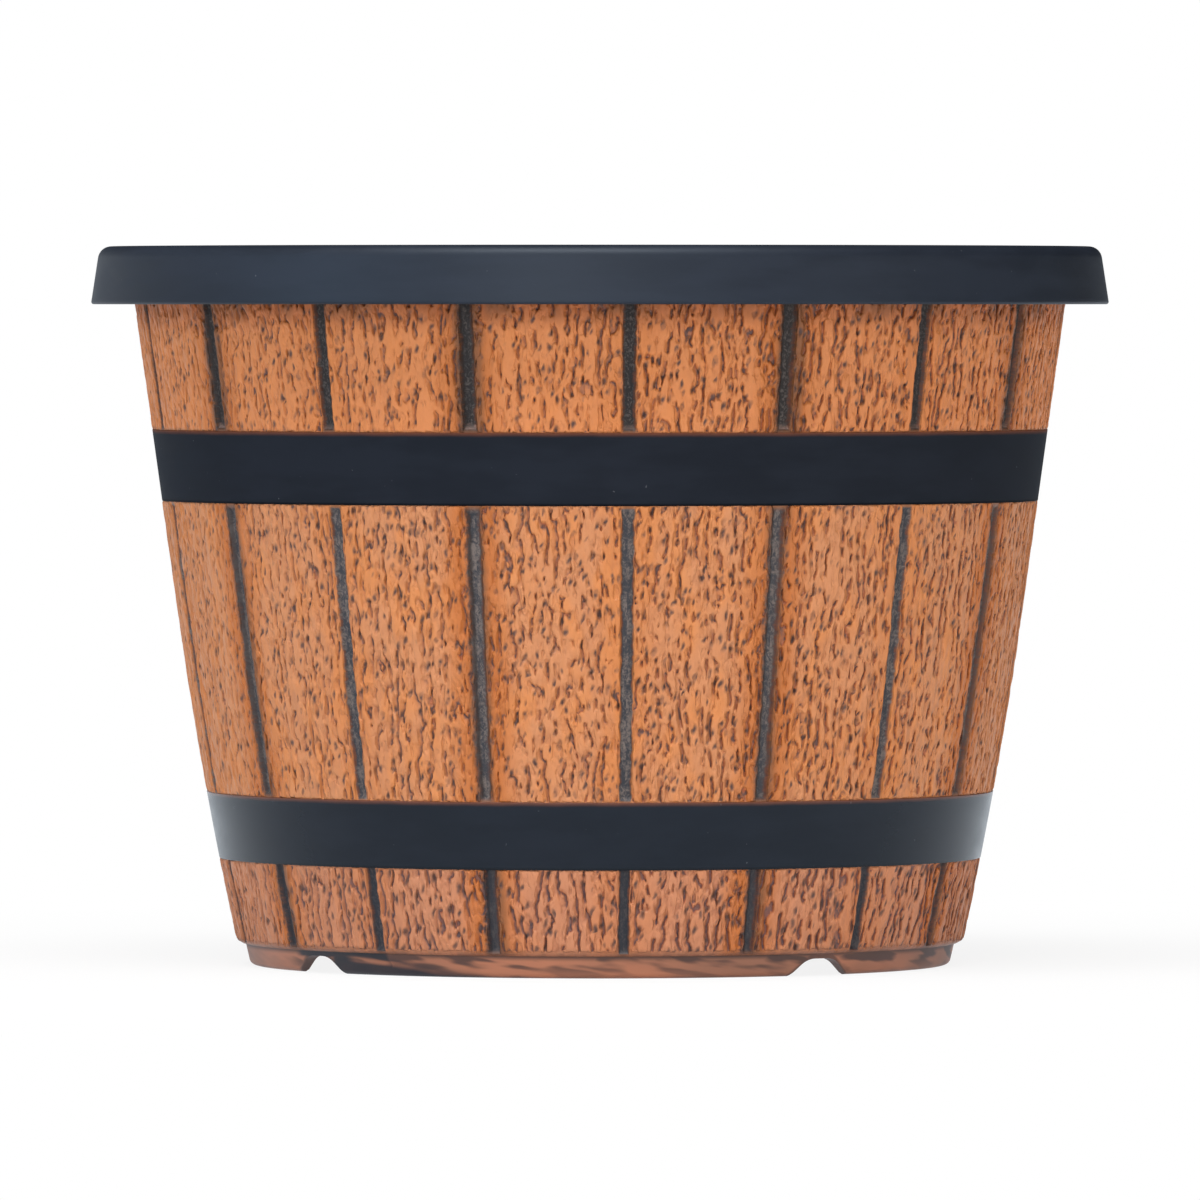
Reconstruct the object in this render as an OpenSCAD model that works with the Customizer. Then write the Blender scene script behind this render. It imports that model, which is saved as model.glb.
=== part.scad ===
// Round barrel-style tub planter, moulded in plastic.
// The tub wall carries eighteen staves in relief, two hoops snap into seats round it,
// a turned-down rim clips over its lip, and four rubber plugs close the drain holes.
// Origin: on the ground under the middle of the tub. +Z is up, and the front faces -Y.

/* [Overall] */
// Height from the ground to the top of the rim
height = 268; // [235:1:330]
// Diameter across the lower edge of the rim skirt
rim_d = 380; // [330:1:470]

/* [Wall] */
// Slope of the wall above the belly, from vertical
taper = 7.9; // [5:0.1:10]
// Height at which the wall starts to curve in towards the foot
belly_z = 135; // [90:1:170]
// Radius of that curve, seen from the side
belly_r = 1600; // [1200:10:4000]
// Thickness of the wall between its skins
wall_t = 3.2; // [2.8:0.1:5]
// Radius on the lower edge of the staves
stave_edge_r = 1.6; // [0.8:0.1:2.4]

/* [Staves] */
// Number of staves round the tub
stave_count = 18; // [12:1:24]
// Direction of the first gap between staves
stave_turn = 13.6; // [0:0.1:20]
// Width of the gap between staves, at the rim
groove_w = 5; // [3:0.1:8]
// Depth of that gap
groove_d = 1.4; // [0.6:0.1:1.8]
// Plain stretch between a hoop and the lower end of a gap above it
groove_foot = 1; // [0.6:0.1:4]
// Plain stretch between the upper end of a gap and the upper hoop or clip ledge above it
groove_head = 1.6; // [0.6:0.1:4]

/* [Hoops] */
// Height of the upper hoop
upper_hoop_h = 26.7; // [15:0.1:35]
// Distance of the upper hoop below the rim
upper_hoop_drop = 46.6; // [30:0.1:60]
// Height of the lower hoop
lower_hoop_h = 25; // [15:0.1:30]
// Height of the lower hoop's lower edge above the ground
lower_hoop_z = 39.9; // [28:0.1:50]
// Thickness of a hoop
hoop_t = 1.4; // [1:0.1:1.8]
// How far a hoop stands proud of the staves
hoop_proud = 0.3; // [0.1:0.1:0.8]
// Gap between a hoop and its seat
hoop_fit = 0.1; // [0.05:0.01:0.2]

/* [Rim] */
// Height of the rim skirt
rim_h = 21.6; // [18:0.1:30]
// Distance from the wall to the outside of the skirt, at its lower edge
rim_overhang = 16.6; // [15:0.1:22]
// Slope of the skirt, from vertical
skirt_flare = 8.7; // [2:0.1:10]
// Thickness of the rim
rim_t = 2.4; // [1.8:0.1:2.8]
// Radius on the lower edges of the skirt and the lip
rim_edge_r = 0.9; // [0.5:0.1:0.9]
// Radius of the rim's outer shoulder
shoulder_r = 5; // [3.5:0.1:6]
// Depth of the lip inside the tub
lip_h = 14; // [8:0.1:20]
// Gap between the lip and the tub wall
lip_fit = 0.2; // [0.1:0.05:0.4]
// Number of clips that hold the rim
clip_count = 12; // [6:1:16]
// Width of a clip
clip_w = 22; // [12:1:26]
// Thickness of a clip
clip_t = 1.8; // [1.2:0.1:2.4]
// How far the tub's clip ledge stands out from the wall
ledge_w = 2.8; // [2:0.1:4]
// Height of that ledge
ledge_h = 2.8; // [2:0.1:4]
// Depth of the ledge's top below the top of the tub wall
ledge_drop = 5; // [3:0.1:6]
// Gap round the clips
clip_fit = 0.25; // [0.15:0.05:0.4]

/* [Foot] */
// Height of the foot ring
foot_h = 8.2; // [7.6:0.1:14]
// Step from the staves in to the foot ring
foot_step = 3; // [2:0.1:5]
// Thickness of the foot ring
foot_t = 3.4; // [3.2:0.1:6]
// Radius on the foot ring's outer lower edge
foot_edge_r = 2.4; // [1:0.1:2.8]
// Number of notches in the foot ring
notch_count = 4; // [3:1:8]
// Direction of the first notch and of the first drain hole
notch_turn = 38; // [0:1:90]
// Width of a notch on the ground
notch_w = 27; // [16:0.5:36]
// Width of a notch at its top
notch_top_w = 12.5; // [8:0.5:15]
// Height of a notch
notch_h = 6.3; // [4.5:0.1:6.7]
// Radius in the top corners of a notch, less where its top is too narrow for it
notch_r = 9; // [1:0.5:12]

/* [Floor] */
// How far the floor's underside is below the lower edge of the staves
floor_drop = 0.8; // [0:0.1:1]
// Thickness of the floor
floor_t = 3.3; // [2.6:0.1:5]
// Radius where the wall meets the floor
floor_fillet_r = 6; // [3:0.1:9]
// Width of the drain gutter round the raised middle of the floor
gutter_w = 46.6; // [42:0.1:60]
// Height of the raised middle
crown_h = 4; // [2:0.1:7]
// Number of ribs under the raised middle
floor_rib_count = 8; // [4:1:12]
// Thickness of those ribs
floor_rib_t = 2.2; // [1.4:0.1:3]
// Radius of the hub that the ribs meet
hub_r = 14; // [8:0.5:20]

/* [Drain] */
// Distance from the foot ring in to the middle of a drain hole
drain_inset = 19.1; // [16:0.1:24]
// Radius of a drain hole
drain_r = 7; // [4:0.1:8]
// Gap between a plug and its hole
plug_fit = 0.1; // [0.05:0.01:0.2]
// Width of a plug's flange past the hole
plug_flange_w = 3.6; // [2:0.1:5]
// Thickness of a plug's flange
plug_flange_t = 2.2; // [1.5:0.1:3]
// How far a plug reaches below the floor
plug_tail = 2.4; // [1:0.1:3]
// Height of a plug's finger tab
plug_tab_h = 7; // [5:0.5:12]
// Thickness of that tab
plug_tab_t = 3; // [2:0.1:4]
// Width of that tab
plug_tab_w = 12.8; // [8:0.2:16]

/* [Hidden] */
$fn = 96;
plug_count = 4;   // drain plugs among the nodes, one for each drain hole

BARREL_BROWN = [0.76, 0.49, 0.33];
HOOP_BLACK = [0.17, 0.19, 0.22];
RUBBER_BLACK = [0.07, 0.07, 0.07];

slice = 10;       // longest straight stretch that stands for a curved wall
arc_steps = 8;    // stretches in a small radius
join = 0.4;       // depth by which fused features run into each other
past = 2;         // how far a cutting shape runs past the face it cuts

rim_z = height - rim_h;
wall_rim_r = rim_d / 2 - rim_overhang;
tub_top_z = height - rim_t;
foot_in_r = wall_r(0) - foot_step - foot_t;
floor_z = foot_h - floor_drop;
floor_top_z = floor_z + floor_t;
crown_foot_r = foot_in_r - gutter_w;
crown_r = crown_foot_r - crown_h;
drain_ring_r = foot_in_r - drain_inset;
upper_hoop_z = rim_z - upper_hoop_drop - upper_hoop_h;
seat_d = hoop_t - hoop_proud + hoop_fit;
ledge_top_z = tub_top_z - ledge_drop;
ledge_z = ledge_top_z - ledge_h;
groove_angle = groove_w / wall_rim_r * 180 / PI;
plug_r = drain_r - plug_fit;
flange_r = drain_r + plug_flange_w;
shoulder_z = height - shoulder_r;
clip_in_r = wall_r(ledge_z) + ledge_w + clip_fit;
clip_out_r = clip_in_r + clip_t;
clip_step = 360 / clip_count;

// Outside radius of the staved wall at a height: a cone that curves in below the belly.
function belly_drop(z) =
    z < belly_z ? belly_r - sqrt(belly_r * belly_r - (belly_z - z) * (belly_z - z)) : 0;
function wall_r(z) = wall_rim_r - (rim_z - z) * tan(taper) - belly_drop(z);
function wall_lean(z) = atan(wall_r(z + 1) - wall_r(z));

// Outside radius of the rim skirt at a height, which the rounded lower edge brings to rim_d.
skirt_foot_r = rim_d / 2 + rim_edge_r * (tan(skirt_flare) + 1 / cos(skirt_flare) - 1);
function skirt_r(z) = skirt_foot_r - (z - rim_z) * tan(skirt_flare);
function skirt_in_r(z) = skirt_r(z) - rim_t / cos(skirt_flare);
shoulder_x = skirt_r(shoulder_z) - shoulder_r / cos(skirt_flare);

// Points up the wall from z0 to z1, moved in by d.
function wall_line(z0, z1, d = 0) =
    let (n = max(1, ceil((z1 - z0) / slice)))
    [for (i = [0 : n]) let (z = z0 + (z1 - z0) * i / n) [wall_r(z) - d, z]];

function arc(x, z, r, from, to) =
    [for (i = [0 : arc_steps]) let (a = from + (to - from) * i / arc_steps)
        [x + r * cos(a), z + r * sin(a)]];

function backwards(points) = [for (i = [len(points) - 1 : -1 : 0]) points[i]];

// A band of the wall between two heights, from depth d_in inside the skin to d_out outside it.
function wall_band(z0, z1, d_in, d_out) =
    concat(wall_line(z0, z1, d_in), backwards(wall_line(z0, z1, -d_out)));

// Half of the tub's section: foot, staved wall with its clip ledge, and stepped floor.
module tub_section() {
    foot_x = wall_r(foot_edge_r) - foot_step - foot_edge_r;
    edge_z = foot_h + stave_edge_r;
    edge_lean = wall_lean(edge_z);
    fillet_z = floor_top_z + floor_fillet_r;
    fillet_lean = wall_lean(fillet_z);
    ledge_r = wall_r(ledge_z) + ledge_w;
    polygon(concat(
        [[foot_in_r, 0]],
        arc(foot_x, foot_edge_r, foot_edge_r, -90, -wall_lean(foot_edge_r)),
        [[wall_r(foot_h) - foot_step, foot_h]],
        arc(wall_r(edge_z) - stave_edge_r / cos(edge_lean), edge_z, stave_edge_r, -90, -edge_lean),
        wall_line(edge_z, ledge_z),
        [[ledge_r, ledge_z], [ledge_r, ledge_top_z]],
        wall_line(ledge_top_z, tub_top_z),
        backwards(wall_line(fillet_z, tub_top_z, wall_t)),
        arc(
            wall_r(fillet_z) - wall_t - floor_fillet_r / cos(fillet_lean), fillet_z,
            floor_fillet_r, -fillet_lean, -90
        ),
        [
            [crown_foot_r, floor_top_z], [crown_r, floor_top_z + crown_h],
            [0, floor_top_z + crown_h], [0, floor_z + crown_h],
            [crown_r - floor_t / 2, floor_z + crown_h], [crown_foot_r - floor_t / 2, floor_z],
            [foot_in_r, floor_z]
        ]
    ));
}

// Seat that a hoop snaps into.
module hoop_seat(z, h) {
    rotate_extrude() polygon(wall_band(z, z + h + hoop_fit, seat_d, past));
}

// One gap between two staves over a stretch of the wall.
module groove(z0, z1) {
    rotate([0, 0, -groove_angle / 2])
        rotate_extrude(angle = groove_angle) polygon(wall_band(z0, z1, groove_d, past));
}

// The three stretches of one gap. The lowest runs up into the lower hoop's seat.
module stave_gap() {
    groove(foot_h + stave_edge_r, lower_hoop_z + join);
    groove(lower_hoop_z + lower_hoop_h + groove_foot, upper_hoop_z - groove_head);
    groove(upper_hoop_z + upper_hoop_h + groove_foot, ledge_z - groove_head);
}

// Opening under the foot ring that lets water out, with sloping sides and round top corners.
module notch() {
    side = atan((notch_w - notch_top_w) / 2 / notch_h);
    mouth_x = notch_w / 2 + past * tan(side);
    reach = tan(45 - side / 2);
    corner_r = min(notch_r, (notch_top_w / 2 - join) / reach);
    corner_x = notch_top_w / 2 - corner_r * reach;
    corner_z = notch_h - corner_r;
    translate([foot_in_r - 2 * past, 0, 0])
        rotate([90, 0, 90])
            linear_extrude(foot_t + 4 * past)
                polygon(concat(
                    [[-mouth_x, -past], [mouth_x, -past]],
                    arc(corner_x, corner_z, corner_r, side, 90),
                    arc(-corner_x, corner_z, corner_r, 90, 180 - side)
                ));
}

// Ribs and hub that stiffen the raised middle of the floor from below.
module floor_ribs() {
    rib_h = crown_h + join;
    rib_end = crown_foot_r - floor_t / 2 + join;
    for (i = [0 : floor_rib_count - 1])
        rotate([0, 0, 360 / floor_rib_count * i])
            translate([hub_r - join, -floor_rib_t / 2, floor_z])
                cube([rib_end - hub_r + join, floor_rib_t, rib_h]);
    translate([0, 0, floor_z])
        difference() {
            cylinder(r = hub_r, h = rib_h);
            translate([0, 0, -past]) cylinder(r = hub_r - floor_rib_t, h = rib_h + 2 * past);
        }
}

// Puts a shape at one of the drain holes, on the ground.
module at_drain(index) {
    rotate([0, 0, notch_turn + 360 / plug_count * index]) translate([drain_ring_r, 0, 0]) children();
}

module tub() {
    color(BARREL_BROWN)
        difference() {
            union() {
                rotate_extrude() tub_section();
                floor_ribs();
            }
            hoop_seat(lower_hoop_z, lower_hoop_h);
            hoop_seat(upper_hoop_z, upper_hoop_h);
            for (i = [0 : stave_count - 1])
                rotate([0, 0, stave_turn + 360 / stave_count * i]) stave_gap();
            for (i = [0 : notch_count - 1])
                rotate([0, 0, notch_turn + 360 / notch_count * i]) notch();
            for (i = [0 : plug_count - 1])
                at_drain(i)
                    translate([0, 0, floor_z - past]) cylinder(r = drain_r, h = floor_t + 2 * past);
        }
}

// Half of the rim's section: skirt, rounded shoulder, flat top and the lip inside the tub.
module rim_section() {
    lip_z = height - lip_h;
    lip_edge_z = lip_z + rim_edge_r;
    lip_lean = wall_lean(lip_edge_z);
    lip_out_r = wall_r(lip_edge_z) - wall_t - lip_fit;
    skirt_edge_z = rim_z + rim_edge_r;
    edge_in = rim_edge_r / cos(skirt_flare);
    lip_edge_in = rim_edge_r / cos(lip_lean);
    polygon(concat(
        arc(skirt_in_r(skirt_edge_z) + edge_in, skirt_edge_z, rim_edge_r, 180 + skirt_flare, 270),
        arc(skirt_r(skirt_edge_z) - edge_in, skirt_edge_z, rim_edge_r, -90, skirt_flare),
        arc(shoulder_x, shoulder_z, shoulder_r, skirt_flare, 90),
        arc(wall_r(tub_top_z) - wall_t - lip_fit, tub_top_z, rim_t, 90, 180 - taper),
        arc(lip_out_r - rim_t / cos(lip_lean) + lip_edge_in, lip_edge_z, rim_edge_r, 180 - lip_lean, 270),
        arc(lip_out_r - lip_edge_in, lip_edge_z, rim_edge_r, -90, -lip_lean),
        [[wall_r(tub_top_z) - wall_t - lip_fit, tub_top_z]],
        backwards(arc(shoulder_x, shoulder_z, shoulder_r - rim_t, skirt_flare, 90))
    ));
}

// Clip that hangs from the rim and hooks under the tub's ledge.
module clip() {
    sweep = clip_w / clip_in_r * 180 / PI;
    root_z = tub_top_z + join;
    hook_z = ledge_z - clip_fit;
    hook_r = wall_r(ledge_z) + 2 * clip_fit;
    tip_z = hook_z - 2 * clip_t;
    rotate([0, 0, -sweep / 2])
        rotate_extrude(angle = sweep)
            polygon([
                [clip_in_r, root_z], [clip_in_r, hook_z], [hook_r, hook_z],
                [clip_in_r, tip_z], [clip_out_r, tip_z], [clip_out_r, root_z]
            ]);
}

module rim_cap() {
    color(HOOP_BLACK)
        union() {
            rotate_extrude() rim_section();
            for (i = [0 : clip_count - 1])
                rotate([0, 0, clip_step * (i + 0.5)]) clip();
        }
}

// A hoop with bevelled outer edges, which stands on the lower shoulder of its seat.
module hoop(z, h) {
    inner = hoop_t - hoop_proud;
    color(HOOP_BLACK)
        rotate_extrude()
            polygon(concat(
                [[wall_r(z), z]],
                wall_line(z + hoop_proud, z + h - hoop_proud, -hoop_proud),
                [[wall_r(z + h), z + h]],
                backwards(wall_line(z, z + h, inner))
            ));
}

module upper_hoop() {
    hoop(upper_hoop_z, upper_hoop_h);
}

module lower_hoop() {
    hoop(lower_hoop_z, lower_hoop_h);
}

// Rubber plug pushed in from inside the tub: tapered tail, stem, flange and finger tab.
module drain_plug(index) {
    tail_z = floor_z - plug_tail;
    taper_h = plug_tail / 2;
    flange_z = floor_top_z + plug_flange_t;
    bevel = plug_flange_t / 3;
    color(RUBBER_BLACK)
        at_drain(index)
            union() {
                rotate_extrude()
                    polygon([
                        [0, tail_z], [plug_r - taper_h, tail_z], [plug_r, tail_z + taper_h],
                        [plug_r, floor_top_z], [flange_r, floor_top_z],
                        [flange_r, flange_z - bevel], [flange_r - bevel, flange_z], [0, flange_z]
                    ]);
                translate([0, 0, flange_z - join])
                    intersection() {
                        translate([-plug_tab_t / 2, -plug_tab_w / 2, 0])
                            cube([plug_tab_t, plug_tab_w, plug_tab_h + join]);
                        rotate([0, 90, 0])
                            cylinder(r = plug_tab_h + join, h = plug_tab_t, center = true);
                    }
            }
}

tub();
rim_cap();
upper_hoop();
lower_hoop();
drain_plug(0);  // drain_plug_1
drain_plug(1);  // drain_plug_2
drain_plug(2);  // drain_plug_3
drain_plug(3);  // drain_plug_4
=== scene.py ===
"""Barrel planter: the moulded tub with its staves, the rim, two hoops and four drain plugs.

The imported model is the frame. Every piece is built in its coordinates, with sizes in millimetres
and meshes in metres.
"""

import math
from types import SimpleNamespace

import bmesh
import bpy
from bpy.props import FloatProperty, FloatVectorProperty, IntProperty, PointerProperty
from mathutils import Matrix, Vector


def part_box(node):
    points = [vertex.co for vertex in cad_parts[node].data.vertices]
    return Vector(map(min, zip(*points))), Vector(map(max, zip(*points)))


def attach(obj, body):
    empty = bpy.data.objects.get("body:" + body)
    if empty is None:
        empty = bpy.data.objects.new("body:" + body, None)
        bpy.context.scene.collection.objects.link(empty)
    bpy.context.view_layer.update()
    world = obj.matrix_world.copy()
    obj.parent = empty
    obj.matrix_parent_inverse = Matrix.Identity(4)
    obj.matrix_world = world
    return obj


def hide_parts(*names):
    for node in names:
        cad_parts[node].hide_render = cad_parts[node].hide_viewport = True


bl_info = {
    "name": "Barrel Planter",
    "version": (1, 0, 0),
    "blender": (4, 5, 0),
    "location": "3D Viewport > Sidebar > Planter",
    "description": "Builds a moulded barrel planter with embossed staves, hoops, rim and drain plugs",
    "category": "Object",
}

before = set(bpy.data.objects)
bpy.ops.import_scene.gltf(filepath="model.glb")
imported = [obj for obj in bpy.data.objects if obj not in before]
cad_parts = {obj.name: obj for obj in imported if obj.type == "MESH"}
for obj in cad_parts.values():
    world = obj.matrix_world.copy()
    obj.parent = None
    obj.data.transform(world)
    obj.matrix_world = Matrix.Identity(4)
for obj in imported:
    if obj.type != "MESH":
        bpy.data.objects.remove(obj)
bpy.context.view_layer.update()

MM = 0.001
RIM_ROUNDING = 0.06   # mm by which the rim's box is wider than its skirt's lower edge
TURN_STEPS = 360      # straight stretches round a turned piece
CORNER = 40.0         # degrees between two faces from which their edge is sharp
STAVE_CORNER = 62.0   # the same for the grained staves


def paint(red, green, blue):
    """A colour from its values on a screen, 0 to 255, as the light that it reflects."""
    def light(c):
        c = c / 255
        return c / 12.92 if c <= 0.04045 else ((c + 0.055) / 1.055) ** 2.4
    return (light(red), light(green), light(blue))


def a_length(name, description, mm):
    return FloatProperty(
        name=name, description=description, default=mm * MM, min=0.0, precision=5, subtype="DISTANCE"
    )


def an_angle(name, description, degrees):
    return FloatProperty(name=name, description=description, default=math.radians(degrees), subtype="ANGLE")


def a_colour(name, description, default):
    return FloatVectorProperty(
        name=name, description=description, default=default, subtype="COLOR", size=3, min=0.0, max=1.0
    )


# Colours that only tint or fleck the ones in the panel.
DARK_MOTTLE, PALE_MOTTLE = paint(172, 106, 72), paint(226, 152, 108)
# UNDER_RIM_SHADE and LIP_SHADE_BROWN are painted shade: under the rim and on the staves' lower edge.
UNDER_RIM_SHADE, COLD_WASH, LIP_SHADE_BROWN = paint(186, 98, 52), paint(74, 64, 74), paint(104, 68, 52)
OVERSPRAY, GAP_WALL, GAP_FOOT_PALE = paint(112, 66, 46), paint(128, 74, 50), paint(168, 138, 126)
STAINED_GAP, TOP_GAP, LOW_GAP = paint(50, 44, 44), paint(37, 31, 29), paint(38, 40, 48)
SMEAR, PATCH = paint(60, 48, 48), paint(36, 37, 45)
# HOOP_UNDER_SHADE is painted shade along a hoop's lower edge.
DUST, SPRAY_EDGE, HOOP_UNDER_SHADE = paint(120, 122, 128), paint(122, 73, 52), paint(12, 13, 17)
COOL_GLOSS = (0.76, 0.87, 1.0)
# The studio's own.
WHITE, PAPER, COOL = (1.0, 1.0, 1.0), (0.86, 0.86, 0.86), (0.86, 0.93, 1.0)


# ---------------- sizes and finishes

class PlanterSizes(bpy.types.PropertyGroup):
    """Sizes of the planter, as the frame has them."""
    height: a_length("Height", "Ground to the top of the rim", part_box("rim_cap")[1].z / MM)
    rim_r: a_length("Rim radius", "Outside radius at the lower edge of the rim skirt",
                    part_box("rim_cap")[1].x / MM - RIM_ROUNDING)
    rim_z: a_length("Rim height", "Height of the rim skirt's lower edge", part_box("rim_cap")[0].z / MM)
    rim_t: a_length("Rim thickness", "Thickness of the rim", 2.4)
    skirt_flare: an_angle("Skirt flare", "Slope of the skirt from vertical", 8.7)
    wall_rim_r: a_length("Wall radius", "Outside radius of the wall at the rim's lower edge", 173.4)
    taper: an_angle("Taper", "Slope of the wall from vertical", 7.9)
    belly_z: a_length("Belly height", "Height below which the wall curves in", 135.0)
    belly_r: a_length("Belly radius", "Radius of that curve", 1600.0)
    wall_t: a_length("Wall thickness", "Thickness of the tub wall", 3.2)
    foot_h: a_length("Foot height", "Height of the foot ring", 8.2)
    foot_step: a_length("Foot step", "Step from the staves in to the foot ring", 3.0)
    lower_hoop_low: a_length("Lower hoop, bottom", "Height of the lower hoop's lower edge",
                             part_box("lower_hoop")[0].z / MM)
    lower_hoop_high: a_length("Lower hoop, top", "Height of the lower hoop's upper edge",
                              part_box("lower_hoop")[1].z / MM)
    upper_hoop_low: a_length("Upper hoop, bottom", "Height of the upper hoop's lower edge",
                             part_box("upper_hoop")[0].z / MM)
    upper_hoop_high: a_length("Upper hoop, top", "Height of the upper hoop's upper edge",
                              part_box("upper_hoop")[1].z / MM)
    hoop_proud: a_length("Hoop stand", "How far a hoop stands out from the staves", 0.3)
    ledge_z: a_length("Clip ledge", "Height of the underside of the ledge under the rim", 257.8)
    ledge_w: a_length("Clip ledge width", "How far the ledge stands out", 2.8)
    stave_count: IntProperty(name="Staves", description="Number of staves", default=18, min=3)
    stave_turn: an_angle("First gap", "Direction of the first gap between staves", 13.6)
    gap_w: a_length("Gap width", "Width of a gap between staves, at the rim", 4.8)
    gap_d: a_length("Gap depth", "Depth of a gap between staves", 1.4)
    gap_foot: a_length("Gap foot", "Plain stretch between a hoop and the gap above it", 1.0)
    gap_head: a_length("Gap head", "Plain stretch between the upper hoop and the gap below it", 1.6)
    grain_d: a_length("Grain depth", "Depth of the embossed grain", 0.4)
    crown_d: a_length("Grain crown", "How far the grain swells between its grooves", 0.6)


class PlanterFinish(bpy.types.PropertyGroup):
    """Colours of the planter."""
    orange: a_colour("Stave orange", "Main colour of the staves", paint(214, 135, 78))
    tan: a_colour("Stave tan", "Paler colour of the staves", paint(207, 137, 91))
    top: a_colour("Top stave", "Colour the staves turn to above the upper hoop", paint(220, 134, 75))
    low: a_colour("Low stave", "Colour the staves turn to below the lower hoop", paint(192, 128, 99))
    amber: a_colour("Amber stain", "Stain beside every second gap", paint(190, 108, 50))
    # This brown is a stain beside every second gap, and also painted shade along each gap's edge and under
    # the rim.
    shade: a_colour("Wash shade", "Brown shade beside the gaps and under the rim", paint(122, 78, 48))
    # The grain brown is also painted as shade in the hollows of the relief.
    grain: a_colour("Grain brown", "Colour in the grain's shallow grooves", paint(160, 100, 74))
    bank: a_colour("Grain red", "Colour of the steep side of the grain's grooves", paint(180, 86, 52))
    wash: a_colour("Dark wash", "Wash that lies in the deepest grain", paint(80, 62, 62))
    pit: a_colour("Pit brown", "Colour in the grain's pits", paint(78, 57, 54))
    gap: a_colour("Gap grey", "Worn colour in the gaps between staves", paint(134, 120, 112))
    gap_wash: a_colour("Gap wash", "Wash in the gaps between staves", paint(56, 57, 63))
    foot: a_colour("Foot brown", "Main colour of the foot ring and of the tub inside", paint(186, 122, 92))
    foot_dull: a_colour("Foot dull brown", "Duller colour of the foot ring", paint(156, 108, 86))
    hoop: a_colour("Upper hoop black", "Colour of the upper hoop", paint(33, 37, 45))
    low_hoop: a_colour("Lower hoop black", "Colour of the lower, glossier hoop", paint(23, 27, 35))
    rim: a_colour("Rim black", "Colour of the rim", paint(33, 38, 48))
    rubber: a_colour("Plug black", "Colour of the drain plugs", paint(32, 32, 33))


def plain(sizes):
    """The sizes as plain numbers: lengths in millimetres and angles in degrees."""
    values = {}
    for key in sizes.__annotations__:
        unit, value = sizes.bl_rna.properties[key].unit, getattr(sizes, key)
        values[key] = value / MM if unit == "LENGTH" else math.degrees(value) if unit == "ROTATION" else value
    return SimpleNamespace(**values)


def chosen():
    """The planter's sizes as plain numbers, and its colours."""
    scene = bpy.context.scene
    return plain(scene.planter_sizes), scene.planter_finish


# ---------------- node wiring

def maths(operation, swapped=False):
    """A method that adds a Math node for a value and another one."""
    def method(self, other):
        pair = (other, self) if swapped else (self, other)
        return self.wires.calc(operation, *pair)
    return method


class Value:
    """What is on a node's output. Arithmetic with it adds Math nodes."""

    def __init__(self, wires, socket):
        self.wires = wires
        self.socket = socket

    __add__, __radd__ = maths("ADD"), maths("ADD", True)
    __sub__, __rsub__ = maths("SUBTRACT"), maths("SUBTRACT", True)
    __mul__, __rmul__ = maths("MULTIPLY"), maths("MULTIPLY", True)
    __truediv__, __rtruediv__ = maths("DIVIDE"), maths("DIVIDE", True)


class Wires:
    """Adds and links nodes in one tree, in a shader and in geometry alike."""

    def __init__(self, tree):
        self.tree = tree

    def feed(self, node, inputs):
        """Links or sets some of a node's inputs, by name or number."""
        for key, value in dict(inputs).items():
            socket = node.inputs[key]
            if isinstance(value, Value):
                self.tree.links.new(value.socket, socket)
            elif hasattr(value, "__len__") and not isinstance(value, str):
                socket.default_value = (*value, 1.0)[:len(socket.default_value)]
            else:
                socket.default_value = value

    def new(self, kind, inputs=(), **settings):
        node = self.tree.nodes.new(kind)
        for key, value in settings.items():
            setattr(node, key, value)
        self.feed(node, inputs)
        return node

    def get(self, kind, inputs=(), output=0, **settings):
        """The value on one output of a new node."""
        return Value(self, self.new(kind, inputs, **settings).outputs[output])

    def calc(self, operation, *values):
        return self.get("ShaderNodeMath", enumerate(values), operation=operation)

    def most(self, first, *others):
        for other in others:
            first = self.calc("MAXIMUM", first, other)
        return first

    def least(self, first, *others):
        for other in others:
            first = self.calc("MINIMUM", first, other)
        return first

    def vector(self, x, y, z):
        return self.get("ShaderNodeCombineXYZ", enumerate((x, y, z)))

    def split(self, vector):
        return [Value(self, part) for part in self.new("ShaderNodeSeparateXYZ", {0: vector}).outputs]

    def noise(self, x, y, z, detail=0.0, roughness=0.5):
        place = self.vector(x, y, z)
        return self.get("ShaderNodeTexNoise", {
            "Vector": place, "Scale": 1.0, "Detail": detail, "Roughness": roughness,
        })

    def grit(self, place, size, detail=2.0):
        """Noise of one size, in the units of the place, all ways."""
        return self.noise(*(part / size for part in place), detail)

    def ramp(self, value, low, high, start=0.0, end=1.0, smooth=True):
        """Goes from start to end as the value goes from low to high."""
        return self.get("ShaderNodeMapRange", enumerate((value, low, high, start, end)),
                        interpolation_type="SMOOTHSTEP" if smooth else "LINEAR")

    def fall(self, value, low, high):
        return self.ramp(value, low, high, 1.0, 0.0)

    def between(self, value, start, end):
        """Goes from start to end as the value goes from 0 to 1."""
        return self.ramp(value, 0.0, 1.0, start, end)

    def blend(self, factor, first, second):
        return self.get("ShaderNodeMix", {0: factor, 6: first, 7: second}, 2, data_type="RGBA")

    def layer(self, base, *coats):
        """Lays colours over a base, each with its factor, the first one lowest."""
        for factor, colour in coats:
            base = self.blend(factor, base, colour)
        return base


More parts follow.
